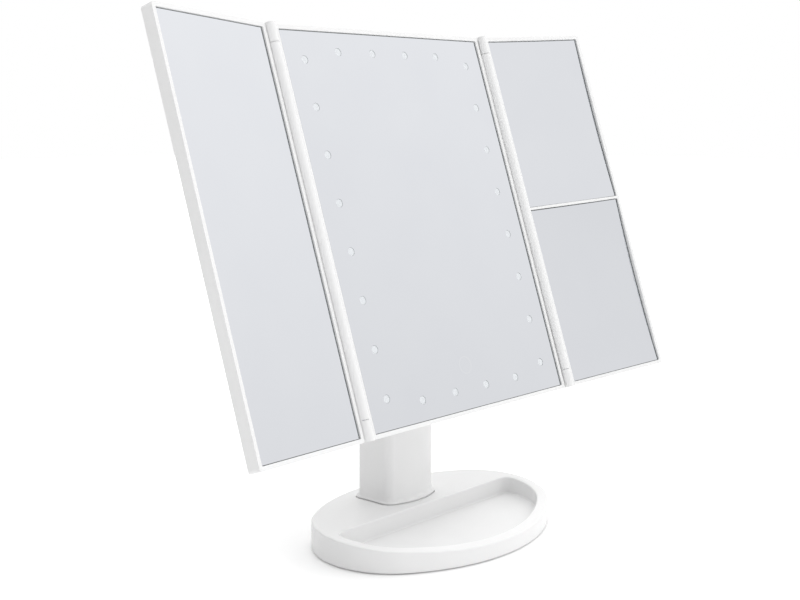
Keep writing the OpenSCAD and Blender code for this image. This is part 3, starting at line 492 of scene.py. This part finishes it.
def behind(limit):
    """The share for edges that lie further back than a depth, in millimetres."""
    return lambda x, y, z: 1.0 if y > limit else 0.0


def neck_with_skirt():
    """The neck's front moulding: its foot a hollow-cheeked skirt, whose thin rim just clears the base."""
    work = merged_copy("neck_shell")
    crest = {vert for face in skirt_faces(work) for vert in face.verts if vert.co.z > CREST_LOW_Z * MM}
    # A ring for the undercut, the rim's lower and upper edge and the skirt's hollow, in millimetres: the
    # height it is cut at, its height over the arch, and how far it lies in from the foot's outline, as a
    # multiple of what the slope gives it at the first height.
    rings = ((16.0, 0.40, 2.5), (16.5, 0.45, 0), (17.0, 0.85, 0), (18.0, 2.0, 3.4))
    for height, _, _ in rings:
        cut(work, skirt_faces(work), (0, 0, height * MM), (0, 0, 1))
    moves = []
    for foot in [vert for vert in work.verts if abs(vert.co.z / MM - SKIRT_LOW_Z) < 0.05]:
        for edge in foot.link_edges:
            vert = edge.other_vert(foot)
            if abs(vert.co.z / MM - rings[0][0]) > 0.01:
                continue
            step = vert.co - foot.co
            for i, (_, rise, inward) in enumerate(rings):
                across = foot.co + step * inward
                moves.append((vert, across, rise * MM + PEAK_Z - arch_drop(across.y)))
                upper = rings[i + 1][0] if i + 1 < len(rings) else None
                above = [e.other_vert(vert) for e in vert.link_edges
                         if upper and abs(e.other_vert(vert).co.z / MM - upper) < 0.01]
                vert = above[0] if above else None
                if not vert:
                    break
    for vert, across, level in moves:
        vert.co = (across.x, across.y, level)
    for vert in crest:
        vert.co.z += CREST_LIFT * MM
    return work


rounded("neck_shell", 0.5 * MM, neck_edge, gloss_abs, work=neck_with_skirt())
rounded("neck_back", 0.35 * MM, behind(NECK_BACK_Y - 0.1), satin_abs)
rounded("neck_screws", SCREW_R, behind(NECK_BACK_Y - 1.1), zinc_steel, segments=2)

# ---------- Batteries ----------
# Four AAA cells in two rows of two, coil springs and plates at their ends, and a hinged door over them.


def islands(node):
    """Lowest and highest corner of each separate solid of a CAD node."""
    work = merged_copy(node)
    left = set(work.verts)
    boxes = []
    while left:
        group = []
        reached = [left.pop()]
        while reached:
            vert = reached.pop()
            group.append(vert.co)
            for edge in vert.link_edges:
                other = edge.other_vert(vert)
                if other in left:
                    left.remove(other)
                    reached.append(other)
        boxes.append([Vector([pick(co[i] for co in group) for i in range(3)]) for pick in (min, max)])
    work.free()
    return boxes


def turn(work, profile, centre, steps=48):
    """Turns a profile of radius and height pairs, in millimetres, about an upright axis through centre."""
    verts = [work.verts.new(centre + Vector((radius * MM, 0, height * MM))) for radius, height in profile]
    edges = [work.edges.new(pair) for pair in zip(verts, verts[1:])]
    bmesh.ops.spin(work, geom=verts + edges, cent=centre, axis=(0, 0, 1), angle=math.tau, steps=steps,
                   use_merge=True, use_duplicate=False)
    bmesh.ops.remove_doubles(work, verts=work.verts[:], dist=0.001 * MM)


def smooth_shaded(work):
    """Turns a bmesh's faces outwards and shades it smooth but for its corners."""
    bmesh.ops.recalc_face_normals(work, faces=work.faces[:])
    for edge in work.edges:
        edge.smooth = not is_corner(edge)
    for face in work.faces:
        face.smooth = True


# Printed shrink film on a cell: a glossy dark grey with a lighter band, 12 mm wide, round one end.
cell_film = moulded_plastic("PVC_film_dark_grey", "3b3f45", "454a50", 0.22, 3 * MM, 0.01 * MM)
band_film = moulded_plastic("PVC_film_green", "5f8f6a", "6a9a75", 0.22, 3 * MM, 0.01 * MM)
# The can under the film: nickel-plated steel, drawn bright.
nickel = metal("Steel_nickel_plated", "b4b2ac", "cfcdc7", 0.18, 0.4 * MM)
CELL_R = 5.25
CELL_L = 44.5
FILM_R = 5.1
BAND_Z = 31


def battery_cells():
    """Each cell with its nub, crimped can, film and band; the row at the user's right is turned over."""
    profile = [(0, 0), (3.2, 0), (3.5, 0.25), (4.6, 0.25), (4.9, 0.5), (5.0, 0.9), (CELL_R, 1.0),
               (CELL_R, BAND_Z), (CELL_R, 43), (5.0, 43.1), (4.8, 43.3), (4.4, 43.3), (4.2, 43.0),
               (2.1, 43.0), (1.9, 43.3), (1.9, 44.2), (1.6, CELL_L), (0, CELL_L)]
    work = bmesh.new()
    for low, high in islands("battery_cells"):
        middle = (low + high) / 2
        one = bmesh.new()
        turn(one, profile, Vector((0, 0, -CELL_L / 2 * MM)))
        for face in one.faces:
            centre = face.calc_center_median()
            height = centre.z / MM + CELL_L / 2
            wide = math.hypot(centre.x, centre.y) > FILM_R * MM
            face.material_index = 0 if not wide else (1 if height < BAND_Z else 2)
        if middle.x > 0:
            bmesh.ops.rotate(one, verts=one.verts[:], matrix=Matrix.Rotation(math.pi, 3, "X"))
        bmesh.ops.translate(one, verts=one.verts[:], vec=middle)
        smooth_shaded(one)
        mesh = bpy.data.meshes.new("cell")
        one.to_mesh(mesh)
        one.free()
        work.from_mesh(mesh)
    made = mesh_object("aaa_cells", work, nickel, cell_film, band_film)
    stands_for(made, "battery_cells")


def battery_springs():
    """A coil spring of 0.7 mm wire at the flat end of each row, its end turns closed."""
    wire = 0.35 * MM
    coil = 2.6 * MM
    turns = 5
    work = bmesh.new()
    for low, high in islands("battery_springs"):
        middle = (low + high) / 2
        rise = high.z - low.z - 2 * wire
        ring = bmesh.ops.create_circle(work, segments=10, radius=wire,
                                       matrix=Matrix.Translation((middle.x + coil, middle.y, low.z + wire))
                                       @ Matrix.Rotation(math.pi / 2, 4, "X"))["verts"]
        geom = ring + list({edge for vert in ring for edge in vert.link_edges})
        for advance, angle in ((0, 1), (rise, turns - 2), (0, 1)):
            steps = 24 * angle
            spun = bmesh.ops.spin(work, geom=geom, cent=(middle.x, middle.y, 0), axis=(0, 0, 1),
                                  dvec=(0, 0, advance / steps), angle=math.tau * angle, steps=steps,
                                  use_merge=False, use_duplicate=False)
            geom = spun["geom_last"]
    bmesh.ops.holes_fill(work, edges=work.edges[:], sides=0)
    smooth_shaded(work)
    made = mesh_object("coil_springs", work, nickel)
    stands_for(made, "battery_springs")


battery_cells()
battery_springs()
finish(nickel, "battery_plates")


GRIP_HALF_X = 6
GRIP_LOW_Z = 120


def door_edge(x, y, z):
    """The door's outer edge in full and its inner ones less, but for the fine ribs of its grip."""
    if abs(x) < GRIP_HALF_X and z > GRIP_LOW_Z:
        return 0.0
    return 1.0 if y > NECK_BACK_Y - 0.5 else 0.3


rounded("battery_door", 0.35 * MM, door_edge, satin_abs)

# ---------- Power inlet and switch ----------
# A micro-USB socket and a slide switch behind the rear panel, and a small board with two wires upwards.


def cut_board(name, dark, light):
    """Glass-fibre board under solder mask; its weave, 0.8 mm a thread, shows faintly."""
    material, tree, shader = new_material(name, {"Roughness": 0.38, "IOR": 1.5})
    coords = add(tree, "TexCoord").outputs["Object"]
    # A wave texture's bands are about 0.16 wide at scale 1.
    warp, weft = [add(tree, "TexWave", {"Vector": coords, "Scale": 0.16 / (0.8 * MM)},
                      bands_direction=axis).outputs["Fac"] for axis in "XZ"]
    tree.links.new(blend(tree, calc(tree, "MULTIPLY", warp, weft), dark, light), shader.inputs["Base Color"])
    return material


green_board = cut_board("Glass_fibre_green_mask", "1c5a3a", "236a45")
white_board = cut_board("Glass_fibre_white_mask", "dcdcd8", "e6e6e2")
# Moulded nylon, black and natural, and acetal: smooth with a faint flow ripple.
black_nylon = moulded_plastic("Nylon_black", "18181a", "222225", 0.45, 0.8 * MM, 0.01 * MM)
natural_nylon = moulded_plastic("Nylon_natural", "d8d6c8", "e2e0d4", 0.35, 2 * MM, 0.005 * MM)
acetal = moulded_plastic("Acetal_white", "e6e6e2", "efefeb", 0.3, 2 * MM, 0.005 * MM, 1.48)
finish(green_board, "power_board", "control_board")


def usb_socket():
    """The folded steel shell as the CAD has it, and its black tongue with five contacts."""
    # Gold plate over nickel, on contacts with faint wipe marks 0.3 mm wide.
    gold = metal("Contacts_gold_plated", "c9a04a", "dcb868", 0.25, 0.3 * MM)
    tongue_half_x, tongue_half_z = 3.3 * MM, 0.4 * MM
    back_wall = 0.95 * MM
    pitch = 0.65 * MM
    contact = (0.35 * MM, 5 * MM, 0.08 * MM, 1)
    work = merged_copy("usb_socket")
    shell_low, shell_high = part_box("usb_socket")
    middle_z = (shell_low.z + shell_high.z) / 2
    for face in work.faces:
        centre = face.calc_center_median()
        inner = abs(centre.z - middle_z) < tongue_half_z and abs(centre.x) < tongue_half_x
        face.material_index = 1 if inner and centre.y > shell_low.y + back_wall else 0
    for i in range(5):
        place = ((i - 2) * pitch, shell_high.y - 3.6 * MM, middle_z + tongue_half_z - 0.03 * MM)
        strip = bmesh.ops.create_cube(work, size=1,
                                      matrix=Matrix.Translation(place) @ Matrix.Diagonal(contact))
        for face in {face for vert in strip["verts"] for face in vert.link_faces}:
            face.material_index = 2
    smooth_shaded(work)
    stands_for(mesh_object("usb_inlet_shell", work, zinc_steel, black_nylon, gold), "usb_socket")


usb_socket()
finish(black_nylon, "switch_body")
rounded("switch_slider", 0.12 * MM, behind(NECK_BACK_Y), black_nylon)


def wire_jackets():
    """Two-wire leads; the wire at the user's right of each pair is red and the other black."""
    pair_middles = (0, 7, -10)
    wire_off_middle = 1
    # Extruded PVC jackets, half matt, with a flow ripple 2 mm long.
    red = moulded_plastic("PVC_wire_red", "9c2323", "aa2a2a", 0.4, 2 * MM, 0.01 * MM)
    black = moulded_plastic("PVC_wire_black", "1b1b1d", "242427", 0.4, 2 * MM, 0.01 * MM)
    for node in ("neck_wires", "panel_wires"):
        work = merged_copy(node)
        for face in work.faces:
            x = face.calc_center_median().x / MM
            nearest = min(pair_middles, key=lambda pair: abs(abs(x - pair) - wire_off_middle))
            face.material_index = 0 if x > nearest else 1
        smooth_shaded(work)
        stands_for(mesh_object(node + "_jackets", work, red, black), node)


wire_jackets()

# ---------- Tilt hinge ----------
# A steel pin through both cheeks and the bracket's lug, nylon friction washers, a nut and two press-in caps.

finish(zinc_steel, "tilt_pin", "tilt_nut")
finish(natural_nylon, "tilt_washers")
rounded("hinge_caps", 0.5 * MM, lambda x, y, z: 1.0 if abs(x) > NECK_HALF_X - 0.1 else 0.0, gloss_abs)

AXIS_BACK = 36 * MM
AXIS_UP = 105.1 * MM
COVER_BACK_Y = 13
JOINT = {joint["name"]: joint for joint in frame["joints"]}


def panel_place():
    """The centre panel's own axes: X along it, Y into it from its lips, Z up from its bottom edge."""
    tilt = JOINT["mirror_tilt"]
    return (Matrix.Translation(tilt["pos_m"]) @ Matrix.Rotation(math.radians(tilt["range_deg"][0]), 4, "X")
            @ Matrix.Translation((0, -AXIS_BACK, -AXIS_UP)))


PANEL = panel_place()


def bracket_edge(x, y, z):
    """The bracket's plate and lug in full where they show, nothing where it seats on the cover."""
    return 0.0 if y < COVER_BACK_Y + 0.2 else 1.0


rounded("tilt_bracket", 0.6 * MM, bracket_edge, satin_abs, PANEL)
rounded("bracket_screws", SCREW_R, behind(COVER_BACK_Y + 1), zinc_steel, PANEL, segments=2)

# ---------- Centre panel's frame and cover ----------
# A polished ABS frame with a thin lip round the glass and two ears a side, and a satin cover on its back.

CENTRE_X = 90.2
PANEL_H = 245
LIP = 2.6
EAR_OFF_MIDDLE = 108
COVER_SEAM_Y = 8


def at_rim(across, z, half):
    """Whether a place is nearer a panel's outline, half wide each way, than its lip's inner edge."""
    return across > half - LIP / 2 or z < LIP / 2 or z > PANEL_H - LIP / 2


def centre_edge(x, y, z):
    """The lip's inner edge in full and its outer edge, which runs close past the ears' webs, by half."""
    beside_ear = abs(x) > CENTRE_X - 0.1 and abs(z - PANEL_H / 2) > EAR_OFF_MIDDLE
    if abs(x) > CENTRE_X + 0.2 or abs(y) > 0.1 or beside_ear:
        return 0.0
    return 0.5 if at_rim(abs(x), z, CENTRE_X) else 1.0


def cover_edge(x, y, z):
    """The cover's back edge in full, its screw holes a little, its seam with the frame least."""
    outside = at_rim(abs(x), z, CENTRE_X)
    if y > COVER_BACK_Y - 0.1:
        return 1.0 if outside else 0.2
    return 0.15 if outside and y > COVER_SEAM_Y else 0.0


rounded("centre_frame", 0.3 * MM, centre_edge, gloss_abs, PANEL)
rounded("rear_cover", 1.2 * MM, cover_edge, satin_abs, PANEL)
rounded("rear_screws", SCREW_R, behind(COVER_BACK_Y - 2), zinc_steel, PANEL, segments=2)

# ---------- Mirrors ----------
# Float glass, silvered and painted on its back. A dark line of painted shade runs round each glass's edge, for the
# shadow in the gap and on the frame's inner wall; it is widest at the user's right and hardly at the foot. The
# right wing's two are hollow, to magnify.

# How wide the line of painted shade is at each side of a glass, and how soft its inner edge.
SHADE_LINE_LEFT = 0.5 * MM
SHADE_LINE_RIGHT = 0.75 * MM
SHADE_LINE_TOP = 0.2 * MM
SHADE_LINE_FOOT = 0
SHADE_LINE_BLUR = 0.15 * MM
RING_R = 5.2 * MM


def silvered_glass(name, place, centre, half, mark=None):
    """Silvered float glass with a dark line of painted shade round its edge, for a mirror with that middle and
    half size in place.

    mark is the place of the touch mark, a faint ring etched in the glass.
    """
    middle = Vector(centre) + Vector(((SHADE_LINE_LEFT - SHADE_LINE_RIGHT) / 2, 0, (SHADE_LINE_FOOT - SHADE_LINE_TOP) / 2))
    clear = Vector(half) - Vector(((SHADE_LINE_LEFT + SHADE_LINE_RIGHT) / 2, 0, (SHADE_LINE_FOOT + SHADE_LINE_TOP) / 2))
    material, tree, shader = new_material(name, {"Metallic": 1.0})
    here = add(tree, "TexCoord").outputs["Object"]
    local = add(tree, "Mapping", {"Vector": here, "Location": place.translation,
                                  "Rotation": place.to_euler()}, vector_type="TEXTURE").outputs[0]
    offset = add(tree, "VectorMath", {0: local, 1: middle}, operation="SUBTRACT").outputs[0]
    distance = add(tree, "VectorMath", {0: offset}, operation="ABSOLUTE").outputs[0]
    inside = add(tree, "SeparateXYZ", {0: add(tree, "VectorMath", {0: clear, 1: distance},
                                              operation="SUBTRACT").outputs[0]})
    margin = calc(tree, "MINIMUM", inside.outputs["X"], inside.outputs["Z"])
    # Painted shade: a share of 1 where the dark line lies, outside the silvered middle.
    border = remap(tree, margin, 1.0, 0.0, -SHADE_LINE_BLUR, SHADE_LINE_BLUR)
    # The silver's cool grey, with a haze that drifts over 45 mm.
    colour = blend(tree, noise(tree, 45 * MM), "edeff4", "f1f3f7")
    if mark:
        from_mark = add(tree, "VectorMath", {0: local, 1: mark}, operation="DISTANCE").outputs["Value"]
        off_ring = calc(tree, "ABSOLUTE", calc(tree, "SUBTRACT", from_mark, RING_R))
        colour = blend(tree, remap(tree, off_ring, 0.3, 0.0, 0.25 * MM, 0.5 * MM), colour, "f9fafc")
    # The painted shade line is a dark grey laid over the silver's colour.
    tree.links.new(blend(tree, border, colour, "7b8083"), shader.inputs["Base Color"])
    # Polished glass, but for the wipe marks, 12 mm wide, that a cloth leaves.
    wiped = remap(tree, noise(tree, 12 * MM, coords=here), 0.0, 0.02)
    tree.links.new(remap(tree, border, wiped, 0.35), shader.inputs["Roughness"])
    return material


# Float glass seen from its edge: dark bottle green, ground matt.
glass_edge = moulded_plastic("Float_glass_ground_edge", "5f6d69", "6d7b76", 0.35, 1 * MM, 0.02 * MM, 1.52)
# The grey lacquer that keeps the silver from tarnish.
mirror_backing = moulded_plastic("Mirror_backing_lacquer", "7c8084", "878b8f", 0.5, 3 * MM, 0.02 * MM)

GLASS_FRONT = 1 * MM
GLASS_HALF_X = 87.3 * MM
GLASS_HALF_Z = 119.6 * MM
MIDDLE_Z = 122.5 * MM
TOUCH_MARK = (0, GLASS_FRONT, 29.7 * MM)


def sort_faces(work, place):
    """Front faces get material 0, edges 1 and back faces 2."""
    turn_back = place.to_3x3().inverted()
    for face in work.faces:
        facing = (turn_back @ face.normal).y
        face.material_index = 0 if facing < -0.5 else (2 if facing > 0.5 else 1)


def flat_mirror(name, node, place, silver):
    """A flat mirror: the CAD's glass with its faces sorted."""
    work = merged_copy(node)
    sort_faces(work, place)
    smooth_shaded(work)
    stands_for(mesh_object(name, work, silver, glass_edge, mirror_backing), node)


flat_mirror("centre_glass", "centre_mirror", PANEL, silvered_glass(
    "Mirror_silvered_centre", PANEL, (0, GLASS_FRONT, MIDDLE_Z), (GLASS_HALF_X, 0, GLASS_HALF_Z),
    TOUCH_MARK))


def wing_place(side):
    """A wing's own axes: X the panel's way from the hinge's axis, Y into the wing, Z up from its bottom."""
    fold = JOINT["left_wing_fold" if side < 0 else "right_wing_fold"]
    hinge = PANEL.inverted() @ Vector(fold["pos_m"])
    return (PANEL @ Matrix.Translation((hinge.x, hinge.y, 0))
            @ Matrix.Rotation(math.radians(side * fold["range_deg"][0]), 4, "Z"))


LEFT_WING = wing_place(-1)
RIGHT_WING = wing_place(1)
WING_MIDDLE_X = 48.5 * MM
WING_HALF_X = 42.1 * MM
WING_FRONT = 1.75 * MM

flat_mirror("left_wing_glass", "left_wing_mirror", LEFT_WING, silvered_glass(
    "Mirror_silvered_left", LEFT_WING, (-WING_MIDDLE_X, WING_FRONT, MIDDLE_Z),
    (WING_HALF_X, 0, GLASS_HALF_Z)))


def right_wing_box(node):
    """A right-wing node's lowest and highest corner in the wing's own axes."""
    back = RIGHT_WING.inverted()
    corners = [back @ vert.co for vert in frame["nodes"][node].data.vertices]
    return [Vector([pick(co[i] for co in corners) for i in range(3)]) for pick in (min, max)]


def hollow_mirror(name, node, radius):
    """A magnifying mirror: a pressed glass whose front is part of a sphere, level with its corners."""
    low, high = right_wing_box(node)
    centre = (low + high) / 2
    half = (high - low) / 2
    silver = silvered_glass("Mirror_silvered_" + name, RIGHT_WING, (centre.x, low.y, centre.z),
                            (half.x, 0, half.z))
    reach = math.hypot(half.x, half.z)
    work = bmesh.new()
    bmesh.ops.create_grid(work, x_segments=30, y_segments=42, size=1)
    front = work.verts[:]
    for vert in front:
        x = vert.co.x * half.x
        z = vert.co.y * half.z
        hollow = math.sqrt(radius ** 2 - x ** 2 - z ** 2) - math.sqrt(radius ** 2 - reach ** 2)
        vert.co = (centre.x + x, low.y + hollow, centre.z + z)
    rim = [edge for edge in work.edges if edge.is_boundary]
    sides = bmesh.ops.extrude_edge_only(work, edges=rim)["geom"]
    back = [vert for vert in sides if isinstance(vert, bmesh.types.BMVert)]
    for vert in back:
        vert.co.y = high.y
    bmesh.ops.holes_fill(work, edges=work.edges[:], sides=0)
    bmesh.ops.transform(work, matrix=RIGHT_WING, verts=work.verts[:])
    bmesh.ops.recalc_face_normals(work, faces=work.faces[:])
    sort_faces(work, RIGHT_WING)
    smooth_shaded(work)
    stands_for(mesh_object(name, work, silver, glass_edge, mirror_backing), node)


hollow_mirror("upper_magnifier", "right_upper_mirror", 1900 * MM)
hollow_mirror("lower_magnifier", "right_lower_mirror", 1300 * MM)

# Closed-cell foam tape behind each glass: soft grey with open pores 0.5 mm across.
foam = moulded_plastic("Foam_tape_grey", "a8aaa6", "c0c2be", 0.9, 0.5 * MM, 0.08 * MM)
finish(foam, "centre_tape", "left_wing_tape", "right_wing_tape")

# ---------- Lights and touch key ----------
# Milky polycarbonate windows in the glass, light chips on a white board behind, and a copper touch pad.


def milky_plastic():
    """Polycarbonate with a diffuser in it: a cool white with a faint cloud and a smooth, half-matt skin."""
    material, tree, shader = new_material("Polycarbonate_milky", {"IOR": 1.585})
    tree.links.new(blend(tree, noise(tree, 4 * MM), "dfe2e6", "e5e8eb"), shader.inputs["Base Color"])
    tree.links.new(remap(tree, noise(tree, 0.6 * MM), 0.28, 0.4), shader.inputs["Roughness"])
    return material


def light_windows():
    """The light guide, its windows brought forward until they lie almost flush with the glass."""
    reach_of_windows = 2 * MM
    sink = 0.15 * MM
    work = merged_copy("light_guide")
    back = PANEL.inverted()
    for vert in work.verts:
        local = back @ vert.co
        if local.y < reach_of_windows:
            local.y = GLASS_FRONT + sink
            vert.co = PANEL @ local
    smooth_shaded(work)
    stands_for(mesh_object("light_windows", work, milky_plastic()), "light_guide")


light_windows()
finish(white_board, "led_board")
# A light chip's phosphor: matt egg yellow in a white case, drawn as a blotch 2 mm wide.
finish(moulded_plastic("Phosphor_yellow", "e6dc98", "ead25a", 0.6, 2 * MM, 0.02 * MM), "led_chips")
# Rolled copper foil with faint stains 1 mm across.
finish(metal("Copper_foil", "b5734e", "cf8f68", 0.3, 1 * MM), "touch_pad")
finish(black_nylon, "control_parts")

# ---------- Wings ----------
# Two frames like the centre panel's, each with a hinge barrel on its inner side, and a glued satin cover.

WING_START = 3.5
WING_END = 93.5
WING_LIP_Y = 0.75
WING_BACK_Y = 8.85


def wing_edge(x, y, z):
    """The lip's inner edge and the back edge in full; the lip's outer edge, by the barrel's web, less."""
    middle = (WING_START + WING_END) / 2
    outside = at_rim(abs(abs(x) - middle), z, WING_END - middle)
    if abs(x) < WING_START - 0.2:
        return 0.0
    if abs(y - WING_LIP_Y) < 0.1:
        return 0.4 if outside else 1.0
    return 1.0 if outside and y > WING_BACK_Y - 0.1 else 0.0


def wing_cover_edge(x, y, z):
    """The edge of the cover that shows as a fine groove in the wing's back."""
    return 1.0 if y > WING_BACK_Y - 0.1 else 0.0


for wing, place in (("left", LEFT_WING), ("right", RIGHT_WING)):
    rounded(wing + "_wing_frame", 0.3 * MM, wing_edge, gloss_abs, place)
    rounded(wing + "_wing_cover", 0.3 * MM, wing_cover_edge, satin_abs, place)
    finish(acetal, wing + "_hinge_bushes")
    finish(zinc_steel, wing + "_hinge_pins")
